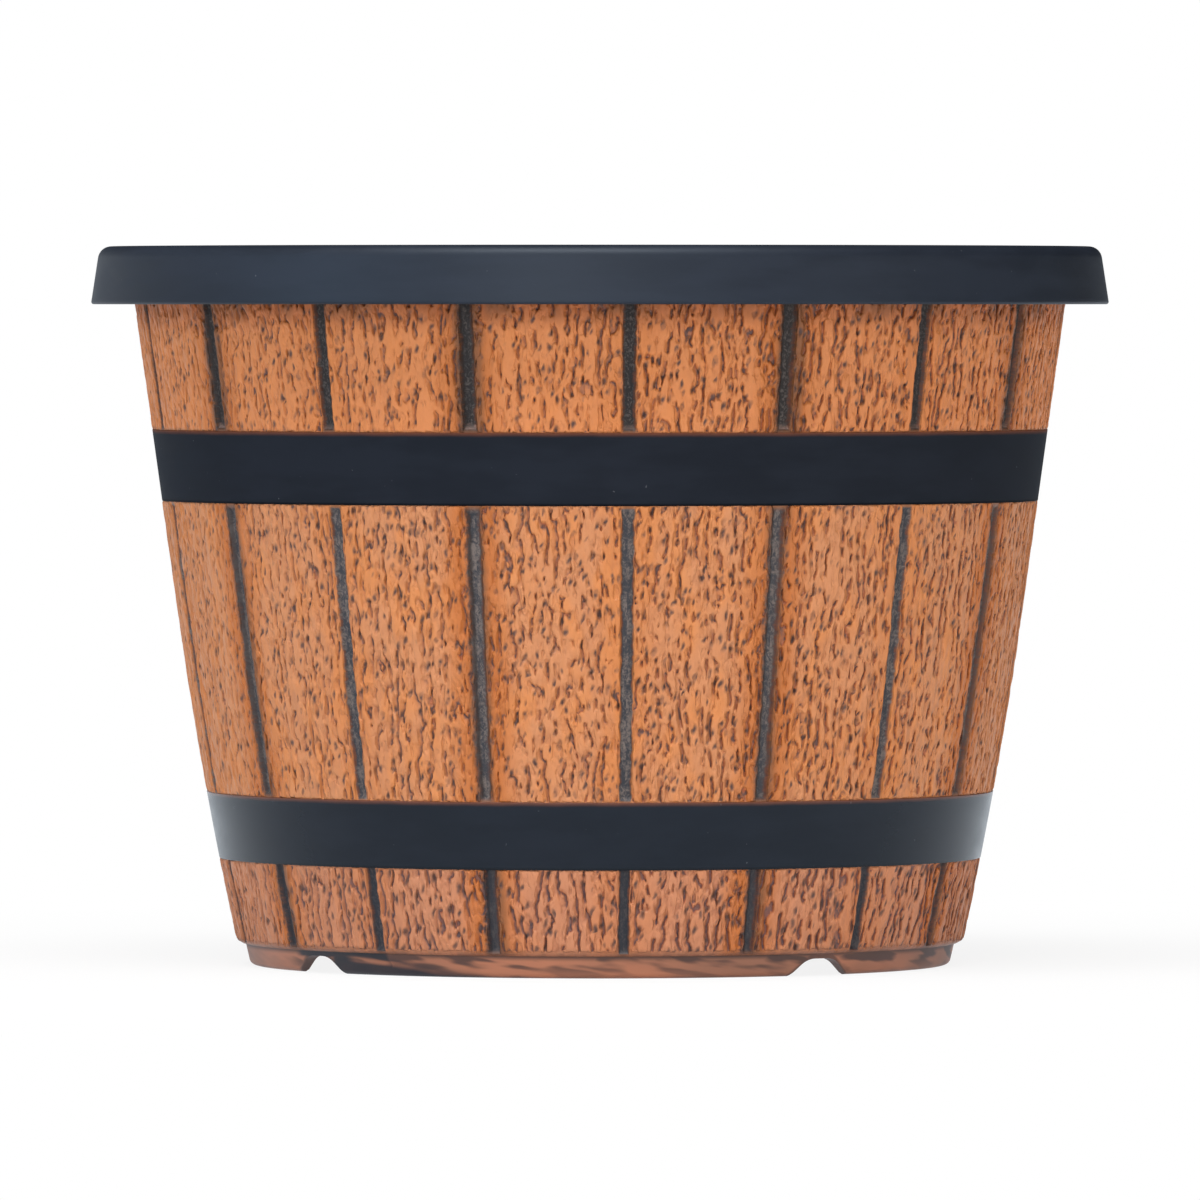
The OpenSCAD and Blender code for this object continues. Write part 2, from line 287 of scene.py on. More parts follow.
def embossed_grain(w, u, v, seed):
    """Wood grain as it is embossed in the staves, at u mm across, v mm up and a stave's own seed.

    The strands lie over one another like scales: each falls gently to its right edge, where the
    next one stands up steeply. Returns the height of the strands (0 to 1), how deep a point is in
    the groove along a strand's edge (0 to 1), how deep it is in a pit, how near it is to the steep
    side of a groove and a patchy value for the dark wash.
    """
    bold = w.fall(v, 48.0, 58.0)        # the lower zone's grain is bolder
    coarse = 1.17 + bold * 0.06
    u = u / coarse
    v = v / (coarse * 1.15)

    def strands(uu, vv):
        sway = w.noise(uu / 6.5, vv / 19.0, seed + 2.1)
        shake = w.noise(uu / 2.4, vv / 4.4, seed + 9.7)
        fray = w.noise(uu / 1.1, vv / 1.3, seed + 5.9)
        return uu / 3.7 + sway * 2.1 + shake * 0.85 + fray * 0.2

    reach = 0.2         # mm over which the slope is taken
    here = strands(u, v)
    slope_u = (strands(u + reach, v) - here) / reach
    slope_v = (strands(u, v + reach) - here) / reach
    slope = w.most(w.calc("SQRT", slope_u * slope_u + slope_v * slope_v), 0.2)
    across = w.calc("FRACT", here)
    after = across / slope              # mm past the steep side of the last groove
    before = (1.0 - across) / slope     # mm to the next groove

    # A strand's edge shows as a groove only in places.
    broken = w.noise(u / 1.7, v / 3.4, seed + 17.3, 1.0)
    patch = w.noise(u / 16.0, v / 26.0, seed + 27.3)
    shown = broken + (patch - 0.5) * 0.22 + bold * 0.05
    open_ = w.ramp(shown, 0.45, 0.60)
    reach_left = 0.4 + open_ * 0.7 + bold * 0.15
    gentle = w.fall(before / reach_left, 0.0, 1.0)
    steep = w.fall(after, 0.05, 0.45)
    groove = w.most(gentle, steep) * w.ramp(open_, 0.0, 0.6)
    bank = w.fall(after, 0.15, 0.45) * w.ramp(open_, 0.1, 0.6)

    # Pits and short slanting dashes lie between the grooves.
    drift = w.noise(u / 3.0, v / 3.0, seed + 3.3, 1.0)
    x = u + drift * 2.4 + seed * 3.1
    y = v + seed * 1.7
    slant_x = x * 0.96 - y * 0.28
    slant_y = x * 0.28 + y * 0.96
    place = w.vector(slant_x / 2.1, slant_y / 4.2, 0.0)
    spots = w.new("ShaderNodeTexVoronoi", {"Vector": place, "Scale": 1.0}, voronoi_dimensions="2D")
    pick = w.split(Value(w, spots.outputs["Color"]))[0]
    radius = w.ramp(pick, 0.45, 1.0, 0.16, 0.40, smooth=False)
    pit = w.fall(Value(w, spots.outputs["Distance"]) / radius, 0.2, 1.35) * w.ramp(pick, 0.45, 0.66)

    height = w.ramp(after, 0.0, 0.7) * w.ramp(before, 0.0, 2.8)
    height = 1.0 - (1.0 - height) * w.ramp(shown, 0.40, 0.54, 0.25, 1.0)
    swell = w.noise(u / 2.4, v / 4.6, seed + 81.0, 1.0)
    height = height + (swell - 0.5) * 0.9
    stain = w.noise(u / 1.7, v / 1.9, seed + 31.0, 1.0)
    return height, groove, pit, bank, stain


# ---------------- shapes shared by pieces

def wall_r(s, z):
    """Outside radius of the staved wall at a height."""
    r = s.wall_rim_r - (s.rim_z - z) * math.tan(math.radians(s.taper))
    if z < s.belly_z:
        r -= s.belly_r - math.sqrt(s.belly_r ** 2 - (s.belly_z - z) ** 2)
    return r


def wall_line(s, low, high, inward, pitch=6.0):
    """Points up the wall between two heights, moved in by some millimetres."""
    n = max(1, math.ceil((high - low) / pitch))
    heights = [low + (high - low) * i / n for i in range(n + 1)]
    return [(wall_r(s, z) - inward, z) for z in heights]


def arc(x, z, r, start, end, steps=8):
    """Points on an arc about (x, z), from one angle to another in degrees."""
    angles = [math.radians(start + (end - start) * i / steps) for i in range(steps + 1)]
    return [(x + r * math.cos(a), z + r * math.sin(a)) for a in angles]


def turned_mesh(name, section, start=0.0, sweep=360.0, steps=TURN_STEPS):
    """A closed section of (radius, height) points, counter-clockwise, turned round the Z axis."""
    whole = sweep >= 360.0
    rings = steps if whole else steps + 1
    n = len(section)
    verts = []
    for j in range(rings):
        a = math.radians(start + sweep * j / steps)
        verts += [(r * math.cos(a) * MM, r * math.sin(a) * MM, z * MM) for r, z in section]
    faces = []
    for j in range(steps):
        k = (j + 1) % rings
        for i in range(n):
            h = (i + 1) % n
            faces.append((j * n + i, k * n + i, k * n + h, j * n + h))
    if not whole:
        faces.append(tuple(range(n)))
        faces.append(tuple((rings - 1) * n + i for i in reversed(range(n))))
    mesh = bpy.data.meshes.new(name)
    mesh.from_pydata(verts, [], faces)
    tidy_mesh(mesh)
    return mesh


def shade_mesh(mesh, corner):
    """Shades smooth up to a corner angle in degrees."""
    mesh.shade_smooth()
    mesh.set_sharp_from_angle(angle=math.radians(corner))


def tidy_mesh(mesh):
    """Welds doubles, turns faces outwards and shades smooth up to the usual corner."""
    bm = bmesh.new()
    bm.from_mesh(mesh)
    bmesh.ops.remove_doubles(bm, verts=bm.verts, dist=1e-6)
    bmesh.ops.recalc_face_normals(bm, faces=bm.faces)
    bm.to_mesh(mesh)
    bm.free()
    shade_mesh(mesh, CORNER)


def new_piece(name, mesh, *materials):
    piece = bpy.data.objects.new(name, mesh)
    bpy.context.scene.collection.objects.link(piece)
    for material in materials:
        mesh.materials.append(material)
    return piece


def fit(piece, body, slot, *nodes):
    """Puts a finished piece on its body, in place of its CAD nodes."""
    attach(piece, body)
    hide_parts(*nodes)


def bake_modifier(piece, modifier):
    """Makes what a modifier gives the piece's own plain mesh, and removes the modifier."""
    depsgraph = bpy.context.evaluated_depsgraph_get()
    mesh = bpy.data.meshes.new_from_object(
        piece.evaluated_get(depsgraph), preserve_all_data_layers=True, depsgraph=depsgraph
    )
    piece.modifiers.remove(modifier)
    start = piece.data
    piece.data = mesh
    bpy.data.meshes.remove(start)
    mesh.name = piece.name


def discard(holder):
    """Removes a helper object and its mesh."""
    mesh = holder.data
    bpy.data.objects.remove(holder)
    bpy.data.meshes.remove(mesh)


def grown(name, tree, inputs):
    """Runs a geometry tree with its inputs and returns the result as a plain piece."""
    piece = new_piece(name, bpy.data.meshes.new(name))
    modifier = piece.modifiers.new("Geometry", "NODES")
    modifier.node_group = tree
    for item in tree.interface.items_tree:
        if item.item_type == "SOCKET" and item.in_out == "INPUT" and item.name in inputs:
            modifier[item.identifier] = inputs[item.name]
    bake_modifier(piece, modifier)
    return piece


def new_tree(name, inputs):
    """A geometry tree with named inputs: {name: its default, or the kind of data it takes}."""
    tree = bpy.data.node_groups.new(name, "GeometryNodeTree")
    tree.interface.new_socket("Geometry", in_out="OUTPUT", socket_type="NodeSocketGeometry")
    for label, default in inputs.items():
        kind = default if isinstance(default, str) else type(default).__name__.capitalize()
        socket = tree.interface.new_socket(label, in_out="INPUT", socket_type="NodeSocket" + kind)
        if kind != default:
            socket.default_value = default
    w = Wires(tree)
    return w, {part.name: Value(w, part) for part in w.new("NodeGroupInput").outputs if part.name}


def finish_tree(w, geometry, material):
    """Ends a tree in Realize Instances and Set Material."""
    real = w.get("GeometryNodeRealizeInstances", {0: geometry})
    w.new("NodeGroupOutput", {0: w.get("GeometryNodeSetMaterial", {"Geometry": real, "Material": material})})
    return w.tree


def new_material(name):
    """A material with the wires of its tree."""
    material = bpy.data.materials.new(name)
    material.use_nodes = True
    return material, Wires(material.node_tree)


def coat(w, colour, roughness, specular, height, strength, depth):
    """Gives a material's shader its colour and gloss, and a bump with a strength and a depth in metres."""
    bump = w.get("ShaderNodeBump", {"Strength": strength, "Distance": depth, "Height": height})
    w.feed(w.tree.nodes["Principled BSDF"], {
        "Base Color": colour, "Roughness": roughness, "Specular IOR Level": specular, "Normal": bump,
    })


def object_place(w):
    """The three object coordinates of a point, in metres."""
    return w.split(w.get("ShaderNodeTexCoord", output="Object"))


# ---------------- staves

FACE_COLUMNS = 185       # across a stave's face
BACK_COLUMNS = 9         # across its hidden back
STAVE_T = 2.0            # mm from the wall line to the hidden back of a stave
ROW_PITCH = 0.95         # mm between rows up a stave
STAVE_EDGE_R = 1.6       # mm, rounding of the staves' lower edge
SEED_STEP = 11.7         # between the grain of one stave and the next


def gap_depth(w, margin, gap_end):
    """How deep a point is in a gap, 0 to 1, from its distances to the gap's side and end."""
    return w.ramp(w.least(margin * -1.0, gap_end), -0.2, 0.55)


def node_wall_r(w, z, s):
    """The wall's radius at a height, as nodes."""
    below = w.most(s["Belly Height"] - z, 0.0)
    chord = w.calc("SQRT", s["Belly Radius"] * s["Belly Radius"] - below * below)
    cone = s["Rim Radius"] - (s["Rim Height"] - z) * s["Wall Slope"]
    return cone - (s["Belly Radius"] - chord)


# Inputs of the stave trees that are sizes of the planter as they stand.
STAVE_SIZES = {
    "Stave Count": "stave_count", "First Gap": "stave_turn", "Gap Width": "gap_w", "Gap Depth": "gap_d",
    "Grain Depth": "grain_d", "Grain Crown": "crown_d", "Rim Radius": "wall_rim_r", "Rim Height": "rim_z",
    "Belly Height": "belly_z", "Belly Radius": "belly_r",
}
HEIGHT_SIZES = {
    "Foot": "foot_h", "Lower Hoop Low": "lower_hoop_low", "Lower Hoop High": "lower_hoop_high",
    "Upper Hoop Low": "upper_hoop_low", "Upper Hoop High": "upper_hoop_high", "Top": "ledge_z",
}
GAP_SIZES = {"Gap Foot": "gap_foot", "Gap Head": "gap_head"}


def taken(sizes, *groups):
    """The sizes that some groups of inputs name."""
    return {label: getattr(sizes, key) for group in groups for label, key in group.items()}


def stave_inputs(sizes):
    """The inputs that a stave's tree and its panels' tree share."""
    slope = math.tan(math.radians(sizes.taper))
    return {"Stave": 0, "Wall Slope": slope, **taken(sizes, STAVE_SIZES, GAP_SIZES)}


def stave_panel_tree(sizes):
    """One stretch of a stave between two heights: a closed shell with a grained face."""
    w, s = new_tree("Stave Panel", {
        **stave_inputs(sizes), "Low": 0.0, "High": 1.0, "Low Edge": 0.0, "Rows": 10,
    })
    columns = FACE_COLUMNS + BACK_COLUMNS
    tube = w.get("GeometryNodeMeshCylinder", {
        "Vertices": columns, "Side Segments": s["Rows"], "Radius": 1.0, "Depth": 2.0,
    }, fill_type="NGON")
    column = w.calc("MODULO", w.get("GeometryNodeInputIndex"), float(columns))
    on_face = w.calc("LESS_THAN", column, FACE_COLUMNS - 0.5)
    face_t = column / (FACE_COLUMNS - 1.0)
    back_t = 1.0 - (column - float(FACE_COLUMNS)) / (BACK_COLUMNS - 1.0)
    t = on_face * face_t + (1.0 - on_face) * back_t
    up = w.split(w.get("GeometryNodeInputPosition"))[2]
    z = w.ramp(up, -1.0, 1.0, s["Low"], s["High"], smooth=False)

    turn = 360.0 / s["Stave Count"]
    angle = s["First Gap"] + turn * (s["Stave"] + t)
    radius = node_wall_r(w, z, s)
    degree = math.pi / 180
    half = radius * turn * (degree / 2)
    u = (t * 2.0 - 1.0) * half
    to_seam = half - w.calc("ABSOLUTE", u)
    half_gap = radius / s["Rim Radius"] * s["Gap Width"] * 0.5
    seed = (s["Stave"] + 1.0) * SEED_STEP
    wave = w.noise(u / 30.0, z / 3.6, seed + 41.0, 2.0)
    margin = to_seam - half_gap + (wave - 0.5) * 1.8
    scuffs = w.noise(u / 1.1, z / 1.6, seed + 51.0, 2.0, 0.6)
    low_end = s["Low"] + s["Low Edge"]
    from_low = z - low_end
    from_high = s["High"] - z
    to_end = w.least(from_low, from_high) + (scuffs - 0.5) * 2.0
    gap_end = w.least(from_low - s["Gap Foot"], from_high - s["Gap Head"])
    gap = gap_depth(w, margin, gap_end)

    height, groove, pit, *_ = embossed_grain(w, u, z, seed)
    grained = w.ramp(margin, 0.0, 0.8) * w.ramp(to_end, 0.0, 0.6)
    sunk = w.most(groove, pit * 0.7) * s["Grain Depth"]
    relief = (height - 0.5) * s["Grain Crown"] - sunk
    rough = (scuffs - 0.5) * 0.5 * gap * w.ramp(to_seam, 0.0, 0.8)
    edge = w.most(low_end - z, 0.0)
    round_r = w.most(s["Low Edge"], 0.001)
    round_in = round_r - w.calc("SQRT", w.most(round_r * round_r - edge * edge, 0.0))
    face_r = radius + relief * grained + rough
    face_r = face_r - gap * s["Gap Depth"] - round_in
    back_r = radius - STAVE_T
    r = on_face * face_r + (1.0 - on_face) * back_r

    # Sizes become metres only here.
    a = angle * degree
    place = w.vector(r * MM * w.calc("COSINE", a), r * MM * w.calc("SINE", a), z * MM)
    kept = tube
    for name, value in (("grain", w.vector(u, z, seed)), ("margin", w.vector(margin, to_end, gap_end))):
        kept = w.get("GeometryNodeStoreNamedAttribute", {"Geometry": kept, "Name": name, "Value": value},
                     data_type="FLOAT_VECTOR", domain="POINT")
    moved = w.get("GeometryNodeSetPosition", {"Geometry": kept, "Position": place})
    w.new("NodeGroupOutput", {0: moved})
    return w.tree


def stave_tree(sizes):
    """A whole stave: the stretches below, between and above the hoops."""
    panel = stave_panel_tree(sizes)
    w, s = new_tree("Stave", {
        **stave_inputs(sizes), **taken(sizes, HEIGHT_SIZES), "Foot Edge": STAVE_EDGE_R, "Finish": "Material",
    })
    both = w.new("GeometryNodeJoinGeometry")
    # The lowest gap ends at the stave's rounded edge and runs up to the hoop.
    for low, high, changed in (
        ("Foot", "Lower Hoop Low", {"Low Edge": s["Foot Edge"], "Gap Foot": 0.0, "Gap Head": -1.0}),
        ("Lower Hoop High", "Upper Hoop Low", {}),
        ("Upper Hoop High", "Top", {}),
    ):
        rows = w.calc("CEIL", (s[high] - s[low]) / ROW_PITCH)
        part = w.get("GeometryNodeGroup", {
            **{label: s[label] for label in stave_inputs(sizes)},
            "Low": s[low], "High": s[high], "Rows": rows, **changed,
        }, node_tree=panel)
        w.feed(both, {0: part})
    return finish_tree(w, Value(w, both.outputs[0]), s["Finish"])


def stave_resin(c, s):
    """Orange resin with dark wash rubbed into the grain and into the gaps between staves, and painted shade
    in the relief's hollows, along the gaps, under the rim and on the lower edge.
    """
    material, w = new_material("Stave resin")
    u, v, seed = w.split(w.get("ShaderNodeAttribute", output="Vector", attribute_name="grain"))
    margin, to_end, gap_end = w.split(w.get("ShaderNodeAttribute", output="Vector", attribute_name="margin"))
    gap = gap_depth(w, margin, gap_end)
    height, groove, pit, bank, stain = embossed_grain(w, u, v, seed)
    grained = w.ramp(margin, 0.0, 0.7) * w.ramp(to_end, -0.1, 0.4)
    groove, pit, bank = groove * grained, pit * grained, bank * grained
    above = w.ramp(v, s.upper_hoop_low, s.upper_hoop_high)
    below = w.fall(v, s.lower_hoop_low, s.lower_hoop_high)

    # Every second gap is stained: 1 beside those, 0 beside the others.
    gap_number = seed / SEED_STEP + w.calc("GREATER_THAN", u, 0.0)
    stained = w.calc("GREATER_THAN", w.calc("FLOORED_MODULO", gap_number + 0.5, 2.0), 1.0)
    leeward = w.calc("LESS_THAN", u, 0.0)       # 1 on a stave's left half

    tone = w.noise(u / 9.0, v / 22.0, seed, 2.0)
    centred = w.ramp(margin, 1.0, 12.0, -0.08, 0.06)
    mottle = w.noise(u / 3.4, v / 6.0, seed + 61.0, 2.0)
    # Painted shade: the hollows of the embossed relief take the grain brown.
    hollow_shade = w.fall(height, 0.0, 0.9) * grained
    base = w.layer(
        c.orange,
        (w.ramp(tone + centred, 0.36, 0.64), c.tan),
        (w.ramp(mottle, 0.30, 0.50, 0.28, 0.0), DARK_MOTTLE),
        (w.ramp(mottle, 0.52, 0.72, 0.0, 0.12), PALE_MOTTLE),
        (below * 0.55, c.low),
        (above * 0.7, c.top),
        (hollow_shade * w.between(below, 0.12, 0.35), c.grain),
    )

    # Wash has run along the gaps and left a stain beside every second one. The darker bands under the rim are
    # painted shade, and the dark edge along each gap is partly wash, partly painted shade.
    drift = w.noise(u / 14.0, v / 45.0, seed + 71.0, 1.0)
    uneven = margin + (drift - 0.5) * 9.0
    gold = w.ramp(uneven, 1.0, 14.0, 0.95, 0.0) * w.between(stained, 0.25, 1.0)
    reach = w.between(above, 1.5, 2.8) + leeward + (drift - 0.5) * 5.0
    beside = w.ramp(margin - reach, -2.0, 1.5, 0.8, 0.0) * stained
    # Dark edge along every gap: partly wash, partly painted shade at the gap's edge.
    gap_edge_wash_and_shade = w.ramp(margin, -0.8, 0.7, 0.75, 0.0)
    # Painted shade under the rim, broken up in blotches.
    under_rim_shade = w.ramp(v, s.rim_z - 10.0, s.rim_z + 1.0) * w.ramp(drift, 0.42, 0.58, 0.15, 0.7)
    base = w.layer(
        base,
        (gold, c.amber),
        # painted shade: deeper orange in the 13 mm under the rim
        (w.ramp(v, s.rim_z - 13.0, s.rim_z + 1.0, 0.0, 0.6), UNDER_RIM_SHADE),
        (w.most(beside, gap_edge_wash_and_shade, under_rim_shade), c.shade),
    )

    brown = w.layer(base, (w.ramp(groove, 0.0, 0.9) * 0.50, c.grain), (bank * 0.40, c.bank))
    held = w.most(w.ramp(stain, 0.38, 0.62, 0.20, 0.90), below * 0.65)
    washed = w.ramp(groove, 0.40, 1.0) * held
    cold = w.blend(below * 0.8, c.wash, COLD_WASH)
    filled = w.most(w.ramp(stain, 0.35, 0.62, 0.40, 0.95), below * 0.8)
    # Painted shade on the staves' rounded lower edge, where it turns down towards the foot.
    lip_shade = w.ramp(v, s.foot_h + 0.2, s.foot_h + 3.2, 0.75, 0.0) * w.ramp(mottle, 0.3, 0.6, 0.6, 1.0)
    face = w.layer(brown, (washed, cold), (pit * filled, c.pit), (lip_shade, LIP_SHADE_BROWN))

    # The hoop's black reaches a little past its upper edge.
    over = v - (s.upper_hoop_high + (tone - 0.5) * 1.0)
    over_hoop = w.calc("GREATER_THAN", v, s.upper_hoop_high - 1.0)
    sprayed = w.ramp(over, -0.8, 1.3, 0.55, 0.0) * over_hoop
    face = w.blend(sprayed, face, OVERSPRAY)

    # Worn wash in the gaps, with a soft edge at the stained ones.
    lean = u + w.noise(u / 3.0, v / 2.4, seed + 95.0) * 3.0
    speck = w.noise(lean / 0.9, v / 1.3, seed + 91.0, 2.0, 0.6)
    blotch = w.noise(u / 3.0, v / 7.0, seed + 93.0, 1.0)
    paled = speck + (blotch - 0.5) * 0.7 + stained * 0.03
    worn = w.layer(
        c.gap_wash,
        (w.ramp(paled, 0.35, 0.80, 0.0, 0.75), c.gap),
        (stained * w.ramp(margin, -1.3, -0.2, 0.0, 0.7), STAINED_GAP),
        (above * w.ramp(speck, 0.42, 0.66, 0.95, 0.55), TOP_GAP),
        (below * 0.70, LOW_GAP),
    )
    wall = w.blend(w.ramp(gap, 0.0, 0.40), face, GAP_WALL)
    soft = w.between(w.most(stained, above * 0.5), 0.5, 1.6)
    spread = stained * w.between(leeward, 1.1, 0.1)
    torn = (speck - 0.5) * soft * 1.9 + (blotch - 0.5) * 1.6
    inside = margin * -1.0 + torn + spread
    inside = w.least(inside, gap_end + 0.7 + (speck - 0.5) * 0.6)
    skin = w.blend(w.ramp(inside / soft, -0.7, 1.0), wall, worn)
    paling = v - s.upper_hoop_high + (speck - 0.5) * 4.0
    pale = w.ramp(paling, 0.6, 3.4, 0.7, 0.0) * w.ramp(gap, 0.2, 0.9) * w.between(stained, 0.5, 1.0)
    skin = w.blend(pale * over_hoop, skin, GAP_FOOT_PALE)
    fine = w.noise(u / 0.5, v / 0.7, seed, 1.0)
    raised = (height * 2.0 - (groove * 0.5 + pit * 0.6)) * grained
    coat(w, skin, w.between(gap, 0.46, 0.62), 0.35, raised + fine * 0.2, 0.85, 0.0004)
    return material


class PLANTER_OT_staves(bpy.types.Operator):
    """Build the eighteen embossed staves round the tub"""
    bl_idname = "planter.staves"
    bl_label = "Staves"

    def execute(self, context):
        s, c = chosen()
        tree = stave_tree(s)
        inputs = {
            **stave_inputs(s), **taken(s, HEIGHT_SIZES), "Foot Edge": STAVE_EDGE_R,
            "Finish": stave_resin(c, s),
        }
        for k in range(s.stave_count):
            piece = grown(f"stave_{k + 1:02d}", tree, {**inputs, "Stave": k})
            shade_mesh(piece.data, STAVE_CORNER)
            fit(piece, "body", "tub", "tub")
        return {"FINISHED"}


# ---------------- tub behind the staves

# Lengths in millimetres, directions in degrees.
FOOT_T, FOOT_EDGE_R, FOOT_RING_R = 3.4, 2.4, 130.0
NOTCHES = (38.0, 128.0, 218.0, 308.0)
NOTCH_W, NOTCH_TOP_W, NOTCH_H, NOTCH_R = 27.0, 12.5, 6.3, 9.0
FLOOR_Z, FLOOR_T, FLOOR_FILLET_R, CROWN_H, GUTTER_W = 7.4, 3.3, 6.0, 4.0, 46.6
RIB_COUNT, RIB_T, HUB_R = 8, 2.2, 14.0
DRAIN_INSET, DRAIN_R, DRAIN_SIDES = 19.1, 7.0, 48
SEAT_D = 1.25           # how deep the hoops' seats are
BEHIND = 0.05           # from a stave's hidden back to the core
LEDGE_H, LEDGE_EDGE_R = 2.8, 0.5
SINK = 0.4              # by which the ribs and the hub reach into the floor
PATCH_AT = 222.0        # direction of the heavy patch of wash


def core_section(s):
    """Section of the tub behind its staves, counter-clockwise from the inside of the foot."""
    foot_in = wall_r(s, 0) - s.foot_step - FOOT_T
    foot_x = wall_r(s, FOOT_EDGE_R) - s.foot_step - FOOT_EDGE_R
    top_z = s.ledge_z + LEDGE_H + 5.0
    floor_top = FLOOR_Z + FLOOR_T
    fillet_z = floor_top + FLOOR_FILLET_R
    lean = math.degrees(math.atan(wall_r(s, fillet_z + 1) - wall_r(s, fillet_z)))
    fillet_x = wall_r(s, fillet_z) - s.wall_t - FLOOR_FILLET_R / math.cos(math.radians(lean))
    crown_foot = foot_in - GUTTER_W
    crown = crown_foot - CROWN_H
    points = [(foot_in + 0.8, 0.0)]
    points += arc(foot_x, FOOT_EDGE_R, FOOT_EDGE_R, -90, -8)
    points += arc(wall_r(s, s.foot_h) - s.foot_step + 0.5, s.foot_h - 0.5, 0.5, 180, 90, 3)
    ends = (s.foot_h, s.lower_hoop_low, s.lower_hoop_high, s.upper_hoop_low, s.upper_hoop_high, s.ledge_z)
    for i, (low, high) in enumerate(zip(ends, ends[1:])):
        points += wall_line(s, low, high, SEAT_D if i % 2 else STAVE_T + BEHIND)
    ledge_r = wall_r(s, s.ledge_z) + s.ledge_w
    points += arc(ledge_r - LEDGE_EDGE_R, s.ledge_z + LEDGE_EDGE_R, LEDGE_EDGE_R, -90, 0, 3)
    points += arc(ledge_r - LEDGE_EDGE_R, s.ledge_z + LEDGE_H - LEDGE_EDGE_R, LEDGE_EDGE_R, 0, 90, 3)
    points += [(wall_r(s, s.ledge_z + LEDGE_H), s.ledge_z + LEDGE_H), (wall_r(s, top_z), top_z)]
    points += wall_line(s, fillet_z, top_z, s.wall_t)[::-1]
    points += arc(fillet_x, fillet_z, FLOOR_FILLET_R, -lean, -90)
    under, over = FLOOR_Z + CROWN_H, floor_top + CROWN_H
    points += [(crown_foot + 1.5, floor_top), (crown_foot - 0.6, floor_top + 0.6), (crown + 0.6, over - 0.6),
               (crown - 1.5, over), (40.0, over), (0.0, over), (0.0, under), (40.0, under),
               (crown - FLOOR_T / 2, under), (crown_foot - FLOOR_T / 2, FLOOR_Z), (foot_in, FLOOR_Z),
               (foot_in, 0.8)]
    return points


def prism(outlines):
    """Vertices and faces of a prism between two outlines of as many points each."""
    n = len(outlines[0])
    sides = [(i, (i + 1) % n, n + (i + 1) % n, n + i) for i in range(n)]
    return outlines[0] + outlines[1], sides + [tuple(reversed(range(n))), tuple(range(n, 2 * n))]


def notch_cutter(s, turn):
    """Wedge with sloping sides and round top corners that cuts one notch in the foot ring."""
    side = math.degrees(math.atan((NOTCH_W - NOTCH_TOP_W) / 2 / NOTCH_H))
    corner_x = NOTCH_TOP_W / 2 - NOTCH_R * math.tan(math.radians(45 - side / 2))
    mouth = NOTCH_W / 2 + 2 * math.tan(math.radians(side))
    outline = [(-mouth, -2.0), (mouth, -2.0)]
    outline += arc(corner_x, NOTCH_H - NOTCH_R, NOTCH_R, side, 90)
    outline += arc(-corner_x, NOTCH_H - NOTCH_R, NOTCH_R, 90, 180 - side)
    inner = wall_r(s, 0) - s.foot_step - FOOT_T - 4.0
    cos, sin = math.cos(math.radians(turn)), math.sin(math.radians(turn))
    return prism([
        [((cos * r - sin * x) * MM, (sin * r + cos * x) * MM, z * MM) for x, z in outline]
        for r in (inner, inner + FOOT_T + 8.0)
    ])


def drain_centre(s, turn):
    r = wall_r(s, 0) - s.foot_step - FOOT_T - DRAIN_INSET
    return r * math.cos(math.radians(turn)), r * math.sin(math.radians(turn))


def drain_cutter(s, turn):
    """Cylinder that cuts one drain hole in the floor."""
    x, y = drain_centre(s, turn)
    ring = [2 * math.pi * i / DRAIN_SIDES for i in range(DRAIN_SIDES)]
    return prism([
        [((x + DRAIN_R * math.cos(a)) * MM, (y + DRAIN_R * math.sin(a)) * MM, z * MM) for a in ring]
        for z in (FLOOR_Z - 2, FLOOR_Z + FLOOR_T + 2)
    ])


def cutters(s):
    """One mesh with the notches and the drain holes."""
    verts, faces = [], []
    for turn in NOTCHES:
        for more, sides in (notch_cutter(s, turn), drain_cutter(s, turn)):
            faces += [tuple(len(verts) + i for i in face) for face in sides]
            verts += more
    mesh = bpy.data.meshes.new("cutters")
    mesh.from_pydata(verts, [], faces)
    tidy_mesh(mesh)
    return new_piece("cutters", mesh)


